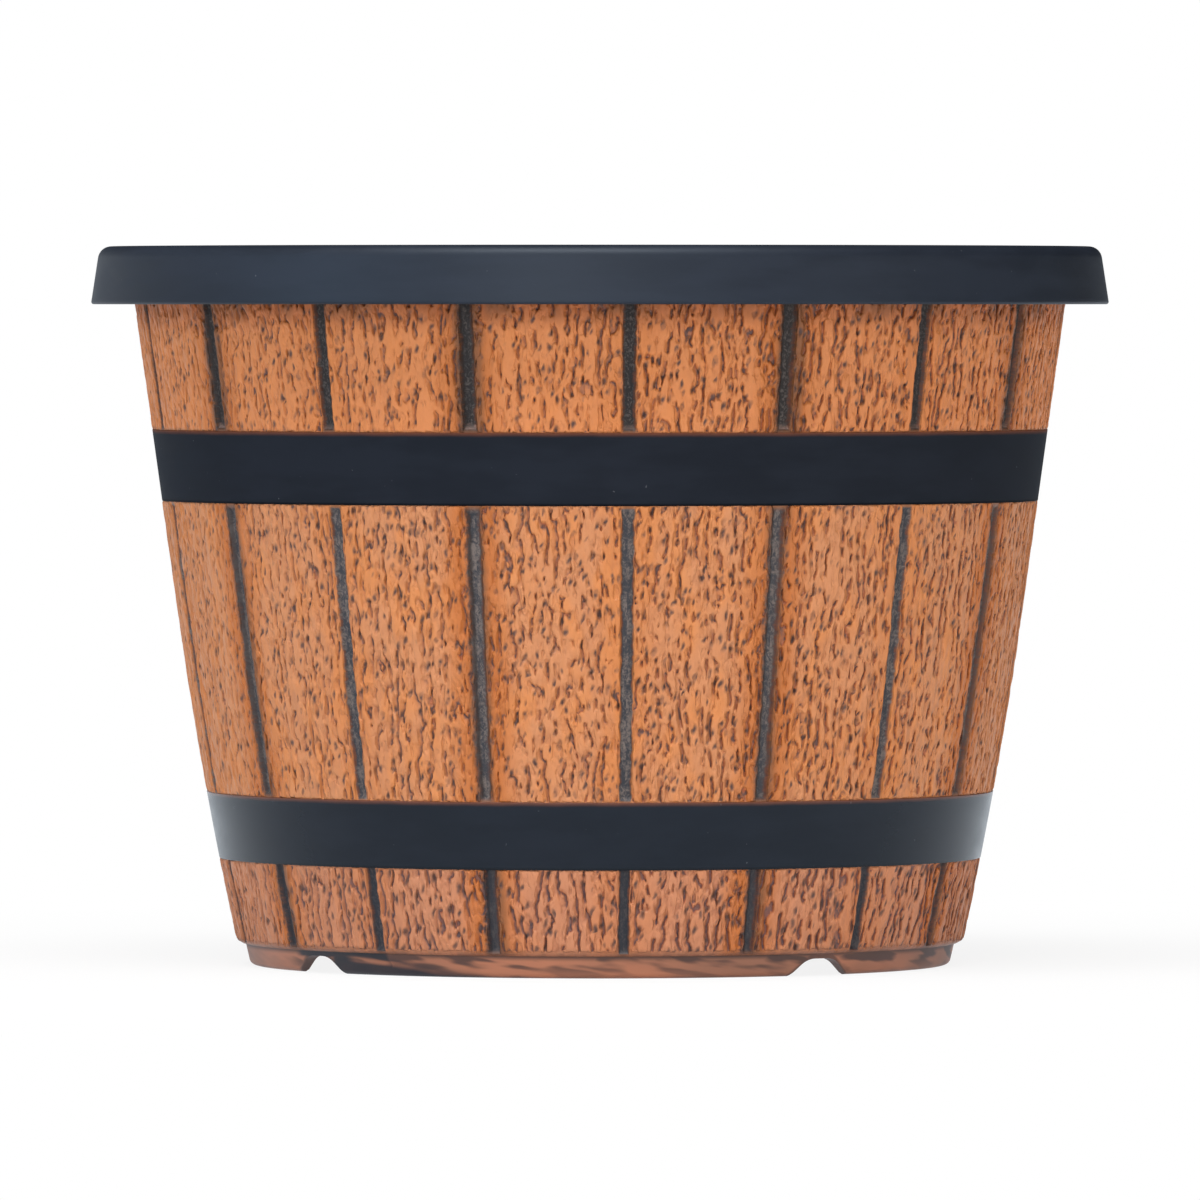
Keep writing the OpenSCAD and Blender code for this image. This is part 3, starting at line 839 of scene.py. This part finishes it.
def tub_resin(c, s):
    """The tub's plain resin, with dark wash smeared round the foot and painted shade under the staves' edge
    and at the notches.
    """
    material, w = new_material("Tub resin")
    x, y, z = object_place(w)
    angle = w.calc("ARCTAN2", y, x)
    degrees = angle * (180 / math.pi)
    r_mm = w.calc("SQRT", x * x + y * y) / MM
    along = angle * FOOT_RING_R
    z_mm = z / MM
    outer = wall_r(s, 0) - s.foot_step
    outside = w.fall(z_mm, s.foot_h + 0.6, s.foot_h + 1.2) * w.ramp(r_mm, outer - 2.6, outer - 1.6)
    cloud = w.noise(x / 0.05, y / 0.05, z / 0.03, 2.0)
    dulled = w.ramp(cloud, 0.35, 0.65) * w.between(outside, 0.35, 1.0)
    base = w.blend(dulled, c.foot, c.foot_dull)

    # Soft clouds of wash, drawn out along the ring and heavier towards its top.
    slant = along + z_mm * 2.2
    streak = w.noise(slant / 17.0, z_mm / 4.6, 4.0, 1.5, 0.5)
    smear = w.ramp(streak, 0.44, 0.61) * w.ramp(z_mm, 0.5, 5.5, 0.35, 0.95) * outside
    # One heavy patch: over and just past a notch, with a brown gleam in it, then along the ground.
    ahead = degrees - (PATCH_AT - 360.0)
    smear = smear * w.ramp(ahead, -14.0, -8.0, 0.2, 1.0)
    ripple = (streak - 0.5) * 4.0
    full = w.ramp(ahead + ripple * 0.6, 11.0, 14.0, 10.0, 0.0)
    top = w.most(full, w.ramp(ahead, 13.0, 36.0, 4.8, -0.6, smooth=False)) + ripple
    heavy = w.fall(z_mm - top, -2.2, 2.0) * w.ramp(ahead, -1.5, 0.5)
    over_notch = w.ramp(z_mm, 5.4, 6.6) * w.ramp(ahead, -10.5, -8.0) * w.fall(ahead, 8.0, 12.0)
    off_gleam = w.calc("ABSOLUTE", z_mm - w.ramp(ahead, 2.0, 14.0, 5.9, 4.6))
    gleam = w.fall(off_gleam, 0.1, 1.6) * w.ramp(ahead, 2.5, 5.5) * w.fall(ahead, 11.0, 13.5)
    heavy = w.most(heavy, over_notch) * (1.0 - gleam * 0.8) * w.fall(ahead, 36.0, 44.0)
    heavy = heavy * outside * 0.96
    # Painted shade: a dark band at the top of the foot ring, under the staves' overhanging edge.
    line = w.ramp(z_mm, s.foot_h - 2.2, s.foot_h - 0.1, 0.0, 0.9) * outside
    # Painted shade in and beside the notches, on their cut faces.
    off_notch = w.calc("FLOORED_MODULO", degrees - (NOTCHES[0] - 45.0), 90.0) - 45.0
    half = NOTCH_W / 2 - z_mm * ((NOTCH_W - NOTCH_TOP_W) / 2 / NOTCH_H)
    beside = w.calc("ABSOLUTE", off_notch) * (outer * math.pi / 180) - half
    in_foot = w.fall(z_mm, s.foot_h - 0.4, s.foot_h + 0.2) * w.ramp(r_mm, outer - 6.0, outer - 5.0)
    cut = w.ramp(beside, 0.0, 2.4, 0.85, 0.0) * in_foot
    skin = w.layer(base, (w.most(smear, line, cut) * 0.9, SMEAR), (heavy, PATCH))
    coat(w, skin, w.ramp(cloud, 0.3, 0.7, 0.42, 0.52), 0.35, w.grit((x, y, z), 0.0011), 0.15, 0.0001)
    return material


def round_copies(w, points, instance, first, count):
    """Instances on points, turned about the Z axis in equal steps from a first angle in radians."""
    turn = first + w.get("GeometryNodeInputIndex") / count * (2 * math.pi)
    return w.get("GeometryNodeInstanceOnPoints", {
        "Points": points, "Instance": instance, "Rotation": w.vector(0.0, 0.0, turn),
    })


def floor_rib_tree():
    """Ribs laid round the underside of the floor."""
    w, s = new_tree("Floor Ribs", {
        "Count": RIB_COUNT, "Thickness": RIB_T * MM, "Inner Radius": 0.013, "Outer Radius": 0.08,
        "Underside": 0.0074, "Depth": 0.0044, "Finish": "Material",
    })
    ring = w.get("GeometryNodeMeshCircle", {"Vertices": s["Count"], "Radius": MM})
    size = w.vector(s["Outer Radius"] - s["Inner Radius"], s["Thickness"], s["Depth"])
    bar = w.get("GeometryNodeMeshCube", {"Size": size, "Vertices X": 12})
    middle = (s["Outer Radius"] + s["Inner Radius"]) / 2.0 - MM
    out = w.get("GeometryNodeTransform", {
        "Geometry": bar, "Translation": w.vector(middle, 0.0, s["Underside"] + s["Depth"] / 2.0),
    })
    return finish_tree(w, round_copies(w, ring, out, 0.0, s["Count"]), s["Finish"])


class PLANTER_OT_tub(bpy.types.Operator):
    """Build the tub behind the staves, with its foot, floor, drain holes and floor ribs"""
    bl_idname = "planter.tub"
    bl_label = "Tub"

    def execute(self, context):
        s, c = chosen()
        finish = tub_resin(c, s)
        piece = new_piece("tub_core", turned_mesh("tub_core", core_section(s)), finish)
        cutter = cutters(s)
        cut = piece.modifiers.new("Notches and drains", "BOOLEAN")
        cut.operation = "DIFFERENCE"
        cut.solver = "EXACT"
        cut.object = cutter
        bake_modifier(piece, cut)
        discard(cutter)
        tidy_mesh(piece.data)
        fit(piece, "body", "tub", "tub")

        foot_in = wall_r(s, 0) - s.foot_step - FOOT_T
        ribs = grown("floor_ribs", floor_rib_tree(), {
            "Count": RIB_COUNT, "Thickness": RIB_T * MM, "Inner Radius": (HUB_R - SINK) * MM,
            "Outer Radius": (foot_in - GUTTER_W - FLOOR_T / 2 + SINK) * MM, "Underside": FLOOR_Z * MM,
            "Depth": (CROWN_H + SINK) * MM, "Finish": finish,
        })
        tidy_mesh(ribs.data)
        fit(ribs, "body", "tub", "tub")
        low, high = FLOOR_Z, FLOOR_Z + CROWN_H + SINK
        hub = [(HUB_R - RIB_T, low + 0.3), (HUB_R - RIB_T + 0.3, low), (HUB_R - 0.3, low), (HUB_R, low + 0.3),
               (HUB_R, high), (HUB_R - RIB_T, high)]
        ring = new_piece("floor_hub", turned_mesh("floor_hub", hub, steps=96), finish)
        fit(ring, "body", "tub", "tub")
        return {"FINISHED"}


# ---------------- rim

LIP_H, LIP_FIT, RIM_EDGE_R, SHOULDER_R = 14.0, 0.2, 0.9, 5.0
SKIRT_STEPS = 7
CLIP_COUNT, CLIP_W, CLIP_T, CLIP_FIT = 12, 22.0, 1.8, 0.25


def rim_section(s):
    """Section of the rim, counter-clockwise from the inside of the skirt."""
    flare = math.radians(s.skirt_flare)
    foot = s.rim_r + RIM_EDGE_R * (math.tan(flare) + 1 / math.cos(flare) - 1)

    def skirt(z):
        return foot - (z - s.rim_z) * math.tan(flare)
    edge_z = s.rim_z + RIM_EDGE_R
    edge_in = RIM_EDGE_R / math.cos(flare)
    shoulder_z = s.height - SHOULDER_R
    shoulder_x = skirt(shoulder_z) - SHOULDER_R / math.cos(flare)
    top_z = s.height - s.rim_t
    lip_edge_z = s.height - LIP_H + RIM_EDGE_R
    lean = math.atan(wall_r(s, lip_edge_z + 1) - wall_r(s, lip_edge_z))
    lip_out = wall_r(s, lip_edge_z) - s.wall_t - LIP_FIT
    lip_in = RIM_EDGE_R / math.cos(lean)
    inner_x = wall_r(s, top_z) - s.wall_t - LIP_FIT
    flare_deg, lean_deg = s.skirt_flare, math.degrees(lean)
    skirt_in = skirt(edge_z) - s.rim_t / math.cos(flare) + edge_in
    points = arc(skirt_in, edge_z, RIM_EDGE_R, 180 + flare_deg, 270, 6)
    points += arc(skirt(edge_z) - edge_in, edge_z, RIM_EDGE_R, -90, flare_deg, 8)
    low = edge_z + 1.0
    heights = [low + (shoulder_z - low) * i / SKIRT_STEPS for i in range(SKIRT_STEPS)]
    points += [(skirt(z), z) for z in heights]
    points += arc(shoulder_x, shoulder_z, SHOULDER_R, flare_deg, 90, 12)
    points += arc(inner_x, top_z, s.rim_t, 90, 180 - s.taper, 10)
    points += arc(lip_out - s.rim_t / math.cos(lean) + lip_in, lip_edge_z, RIM_EDGE_R, 180 - lean_deg, 270, 6)
    points += arc(lip_out - lip_in, lip_edge_z, RIM_EDGE_R, -90, -lean_deg, 6)
    points += [(inner_x, top_z)]
    points += arc(shoulder_x, shoulder_z, SHOULDER_R - s.rim_t, flare_deg, 90, 8)[::-1]
    return points


def clip_section(s):
    """Section of a clip with its hook under the ledge, counter-clockwise from its root."""
    root_z = s.height - s.rim_t + 0.4
    hook_z = s.ledge_z - CLIP_FIT
    inner = wall_r(s, s.ledge_z) + s.ledge_w + CLIP_FIT
    outer = inner + CLIP_T
    hook = wall_r(s, s.ledge_z) + 2 * CLIP_FIT
    tip_z = hook_z - 2 * CLIP_T
    return [(inner, root_z), (inner, hook_z), (hook, hook_z), (hook + 0.3, hook_z - 0.5), (inner, tip_z),
            (outer - 0.3, tip_z), (outer, tip_z + 0.3), (outer, root_z)]


def clip_tree():
    """One clip repeated round the rim."""
    w, s = new_tree("Rim Clips", {
        "Clip": "Object", "Count": CLIP_COUNT, "First Turn": 15.0, "Finish": "Material",
    })
    line = w.get("GeometryNodeMeshLine", {"Count": s["Count"], "Offset": (0.0, 0.0, 0.0)})
    clip = w.get("GeometryNodeObjectInfo", {"Object": s["Clip"]}, "Geometry")
    turned = round_copies(w, line, clip, s["First Turn"] * (math.pi / 180), s["Count"])
    return finish_tree(w, turned, s["Finish"])


def black_plastic(name, c, roughness, specular, low=None, high=None):
    """Satin black plastic with faint clouding. Between two heights it can fade in over orange, with painted
    shade along its lower edge.
    """
    material, w = new_material(name)
    x, y, z = object_place(w)
    around = w.calc("ARCTAN2", y, x) * 0.16         # metres round the planter
    cloud = w.noise(around / 0.045, z / 0.012, y / 0.2, 3.0, 0.6)
    pale, dull = tuple(v * 1.12 for v in c), tuple(v * 0.9 for v in c)
    skin = w.blend(w.ramp(cloud, 0.35, 0.65), dull, pale)
    skin = w.blend(w.ramp(w.grit((x, y, z), 0.0016, 0.0), 0.86, 0.92, 0.0, 0.4), skin, DUST)
    if low is not None:
        # The black was sprayed on, so its upper edge is soft and a little wavy.
        wave = w.noise(around / 0.012, 0.0, 7.0, 2.0)
        edge = z + (wave - 0.5) * 0.0007
        skin = w.blend(w.ramp(edge, high - 0.0019, high + 0.0003, 0.0, 0.9), skin, SPRAY_EDGE)
        # Painted shade: a dark line along the hoop's lower edge, where it turns under.
        skin = w.blend(w.ramp(z, low + 0.0004, low + 0.0012, 0.9, 0.0), skin, HOOP_UNDER_SHADE)
    gloss = w.ramp(cloud, 0.3, 0.7, roughness - 0.03, roughness + 0.04)
    coat(w, skin, gloss, specular, w.grit((x, y, z), 0.0009), 0.12, 0.0001)
    w.feed(w.tree.nodes["Principled BSDF"], {"Specular Tint": COOL_GLOSS})
    return material


class PLANTER_OT_rim(bpy.types.Operator):
    """Build the turned-down rim and the clips that hold it"""
    bl_idname = "planter.rim"
    bl_label = "Rim"

    def execute(self, context):
        s, c = chosen()
        finish = black_plastic("Rim plastic", c.rim, 0.48, 0.3)
        rim = new_piece("rim", turned_mesh("rim", rim_section(s)), finish)
        fit(rim, "body", "rim", "rim_cap")
        sweep = math.degrees(CLIP_W / (wall_r(s, s.ledge_z) + s.ledge_w))
        clip = new_piece("clip", turned_mesh("clip", clip_section(s), -sweep / 2, sweep, 8), finish)
        clips = grown("rim_clips", clip_tree(), {
            "Clip": clip, "Count": CLIP_COUNT, "First Turn": 180.0 / CLIP_COUNT, "Finish": finish,
        })
        discard(clip)
        tidy_mesh(clips.data)
        fit(clips, "body", "rim", "rim_cap")
        return {"FINISHED"}


# ---------------- hoops

HOOP_T = 1.4


def hoop_section(s, low, high):
    """Section of a hoop with rounded outer edges, counter-clockwise from its lower back."""
    proud = s.hoop_proud
    inner = HOOP_T - proud
    lean = math.degrees(math.atan(wall_r(s, low + 1) - wall_r(s, low)))
    points = [(wall_r(s, low) - inner, low)]
    points += arc(wall_r(s, low + proud), low + proud, proud, -90, -lean, 4)
    points += wall_line(s, low + 1.0, high - 1.0, -proud, 3.0)
    points += arc(wall_r(s, high - proud), high - proud, proud, -lean, 90, 4)
    points += wall_line(s, low + 1.0, high, inner)[::-1]
    return points


class PLANTER_OT_hoops(bpy.types.Operator):
    """Build the two hoops"""
    bl_idname = "planter.hoops"
    bl_label = "Hoops"

    def execute(self, context):
        s, c = chosen()
        for name, low, high, shade, roughness, specular in (
            ("upper_hoop", s.upper_hoop_low, s.upper_hoop_high, c.hoop, 0.7, 0.06),
            ("lower_hoop", s.lower_hoop_low, s.lower_hoop_high, c.low_hoop, 0.22, 0.27),
        ):
            label = name.replace("_", " ").capitalize() + " paint"
            finish = black_plastic(label, shade, roughness, specular, low * MM, high * MM)
            hoop = new_piece(name + "_band", turned_mesh(name, hoop_section(s, low, high)), finish)
            fit(hoop, "body", "hoops", name)
        return {"FINISHED"}


# ---------------- drain plugs

PLUG_FIT, FLANGE_W, FLANGE_T, PLUG_TAIL = 0.1, 3.6, 2.2, 2.4
TAB_H, TAB_T, TAB_W = 7.0, 3.0, 12.8


def plug_rubber(c):
    """Soft black rubber with a dull bloom."""
    material, w = new_material("Plug rubber")
    x, y, z = object_place(w)
    bloom = w.noise(x / 0.006, y / 0.006, z / 0.004, 3.0, 0.6)
    skin = w.blend(w.ramp(bloom, 0.4, 0.7), c, tuple(v * 2.2 for v in c))
    coat(w, skin, w.ramp(bloom, 0.3, 0.7, 0.6, 0.78), 0.35, w.grit((x, y, z), 0.0006), 0.3, 0.0001)
    return material


def plug_mesh(s, name, turn):
    """A plug with a stepped, rounded body and a finger tab across its top."""
    r, flange = DRAIN_R - PLUG_FIT, DRAIN_R + FLANGE_W
    tail, seat = FLOOR_Z - PLUG_TAIL, FLOOR_Z + FLOOR_T
    top = seat + FLANGE_T
    section = [(0.0, tail), (r - 1.6, tail)] + arc(r - 1.2, tail + 0.6, 0.5, -60, 0, 3)
    section += [(r, tail + PLUG_TAIL / 2 + 0.6), (r, seat), (flange - 0.3, seat), (flange, seat + 0.3)]
    section += arc(flange - 0.7, top - 0.7, 0.7, 0, 90, 5) + [(0.0, top)]
    body = turned_mesh(name, section, steps=64)
    bm = bmesh.new()
    bm.from_mesh(body)
    outline = [(-TAB_W / 2, -0.4)] + arc(0, 0, TAB_H, 149, 31, 14) + [(TAB_W / 2, -0.4)]
    front, back = ([bm.verts.new((side * TAB_T / 2 * MM, x * MM, (top + z) * MM)) for x, z in outline]
                   for side in (1, -1))
    n = len(outline)
    tab_faces = [bm.faces.new(front), bm.faces.new(back[::-1])]
    for i in range(n):
        j = (i + 1) % n
        tab_faces.append(bm.faces.new((front[j], front[i], back[i], back[j])))
    rims = [e for f in tab_faces[:2] for e in f.edges]
    bmesh.ops.bevel(bm, geom=rims, offset=0.5 * MM, segments=3, profile=0.5, affect="EDGES")
    bmesh.ops.recalc_face_normals(bm, faces=bm.faces)
    a = math.radians(turn)
    x, y = drain_centre(s, turn)
    for v in bm.verts:
        px, py = v.co.x, v.co.y
        v.co.x = px * math.cos(a) - py * math.sin(a) + x * MM
        v.co.y = px * math.sin(a) + py * math.cos(a) + y * MM
    bm.to_mesh(body)
    bm.free()
    shade_mesh(body, CORNER)
    return body


class PLANTER_OT_plugs(bpy.types.Operator):
    """Build the four drain plugs"""
    bl_idname = "planter.plugs"
    bl_label = "Drain plugs"

    def execute(self, context):
        s, c = chosen()
        finish = plug_rubber(c.rubber)
        for k, turn in enumerate(NOTCHES, 1):
            plug = new_piece(f"plug_{k}_rubber", plug_mesh(s, f"plug_{k}_rubber", turn), finish)
            fit(plug, f"plug_{k}", "plugs", f"drain_plug_{k}")
        return {"FINISHED"}


# ---------------- stage

FLOOR_HALF = 40.0                           # metres
WORLD_FILL = 0.26                           # strength of the world for rays that light the scene
LENS, SENSOR = 462.0, 36.0                  # mm
CAMERA_AT = (0.0, -5.754, 0.2476)
CAMERA_DIP = math.atan(299 / 15400)         # how far below level the camera looks
# Name, place, aim, width, height, watts and colour of each lamp.
LAMPS = (
    ("key", (-0.9, -3.6, 1.2), (0, 0, 0.13), 0.9, 1.3, 25, WHITE),
    ("window", (-3.2, -1.6, 1.0), (0, 0, 0.13), 1.2, 1.6, 18, (0.58, 0.80, 1.0)),
    ("front", (0.7, -3.6, 1.5), (0, 0, 0.13), 2.2, 0.9, 13, WHITE),
    ("overhead", (-0.2, -0.9, 2.3), (0, 0, 0.25), 1.6, 1.2, 54, WHITE),
    ("fill", (3.0, -1.9, 0.1), (0, 0, 0.08), 1.0, 0.4, 22, (1.0, 0.95, 0.86)),
)


def lamp(name, place, target, width, height, watts, colour):
    """A soft studio light aimed at a point."""
    light = bpy.data.lights.new(name, "AREA")
    light.shape = "RECTANGLE"
    light.size, light.size_y, light.energy, light.color = width, height, watts, colour
    holder = bpy.data.objects.new(name, light)
    holder.location = place
    holder.rotation_euler = (Vector(target) - Vector(place)).to_track_quat("-Z", "Y").to_euler()
    bpy.context.scene.collection.objects.link(holder)


def rays(w):
    """1 for a glossy ray, 1 for a ray that sees the studio as it looks, and the studio's colour."""
    path = w.new("ShaderNodeLightPath")
    camera, glossy, through = (
        Value(w, path.outputs[f"Is {kind} Ray"]) for kind in ("Camera", "Glossy", "Transmission")
    )
    return glossy, w.most(camera, glossy, through), w.blend(glossy, WHITE, COOL)


def light_world(w):
    """A pale world. Glossy rays find it cool, and darker up and to the right."""
    glossy, seen, tint = rays(w)
    x, y, z = w.split(w.get("ShaderNodeTexCoord", output="Generated"))
    dim = w.ramp(x + z * 0.5, -0.5, 0.75, 0.30, 1.0)
    behind = w.ramp(y, -0.2, 0.5) * w.ramp(z, 0.03, 0.25, 0.0, 0.5)
    mirrored = 1.0 - glossy * w.least(dim + behind, 1.0)
    lit = w.ramp(seen, 0.0, 1.0, WORLD_FILL, 1.0, smooth=False)
    w.feed(w.tree.nodes["Background"], {"Color": tint, "Strength": lit * mirrored})


def studio_paper():
    """White paper that looks as bright as the world, but takes a faint shadow near the planter."""
    material, w = new_material("Studio paper")
    shader = w.tree.nodes["Principled BSDF"]
    w.feed(shader, {"Base Color": PAPER, "Roughness": 0.9, "Specular IOR Level": 0.0})
    _, seen, tint = rays(w)
    glow = w.get("ShaderNodeEmission", {"Color": tint, "Strength": 1.0})
    x, y, _ = object_place(w)
    away = w.calc("SQRT", x * x + y * y)
    shown = seen * w.ramp(away, 0.15, 0.6, 0.87, 1.0)
    mix = w.get("ShaderNodeMixShader", {0: shown, 1: Value(w, shader.outputs[0]), 2: glow})
    w.feed(w.tree.nodes["Material Output"], {"Surface": mix})
    return material


class PLANTER_OT_stage(bpy.types.Operator):
    """Set up the pale floor, the studio light and the camera"""
    bl_idname = "planter.stage"
    bl_label = "Stage"

    def execute(self, context):
        scene = context.scene
        scene.world = bpy.data.worlds.new("Studio")
        scene.world.use_nodes = True
        light_world(Wires(scene.world.node_tree))

        mesh = bpy.data.meshes.new("floor")
        corners = [(x * FLOOR_HALF, y * FLOOR_HALF, 0) for x, y in ((-1, -1), (1, -1), (1, 1), (-1, 1))]
        mesh.from_pydata(corners, [], [(0, 1, 2, 3)])
        floor = new_piece("floor", mesh, studio_paper())

        for values in LAMPS:
            lamp(*values)

        camera = bpy.data.cameras.new("camera")
        camera.sensor_width = SENSOR
        camera.lens = LENS
        camera.clip_end = 200.0
        holder = bpy.data.objects.new("camera", camera)
        scene.collection.objects.link(holder)
        holder.location = CAMERA_AT
        holder.rotation_euler = (math.pi / 2 - CAMERA_DIP, 0.0, 0.0)
        scene.camera = holder
        scene.view_settings.view_transform = "Standard"
        return {"FINISHED"}


# ---------------- panel and registration

OPERATORS = (
    PLANTER_OT_staves, PLANTER_OT_tub, PLANTER_OT_rim, PLANTER_OT_hoops, PLANTER_OT_plugs, PLANTER_OT_stage,
)


class PLANTER_PT_panel(bpy.types.Panel):
    """Lists the planter's sizes, finishes and pieces"""
    bl_idname = "PLANTER_PT_panel"
    bl_label = "Barrel Planter"
    bl_space_type = "VIEW_3D"
    bl_region_type = "UI"
    bl_category = "Planter"

    def draw(self, context):
        for group in (context.scene.planter_sizes, context.scene.planter_finish):
            box = self.layout.box()
            for key in group.__annotations__:
                box.prop(group, key)
        for operator in OPERATORS:
            self.layout.operator(operator.bl_idname)


CLASSES = (PlanterSizes, PlanterFinish) + OPERATORS + (PLANTER_PT_panel,)


def register():
    for cls in CLASSES:
        bpy.utils.register_class(cls)
    bpy.types.Scene.planter_sizes = PointerProperty(type=PlanterSizes)
    bpy.types.Scene.planter_finish = PointerProperty(type=PlanterFinish)


def unregister():
    del bpy.types.Scene.planter_finish
    del bpy.types.Scene.planter_sizes
    for cls in reversed(CLASSES):
        bpy.utils.unregister_class(cls)


def main():
    register()
    bpy.ops.planter.staves()
    bpy.ops.planter.tub()
    bpy.ops.planter.rim()
    bpy.ops.planter.hoops()
    bpy.ops.planter.plugs()
    bpy.ops.planter.stage()


if __name__ == "__main__":
    main()
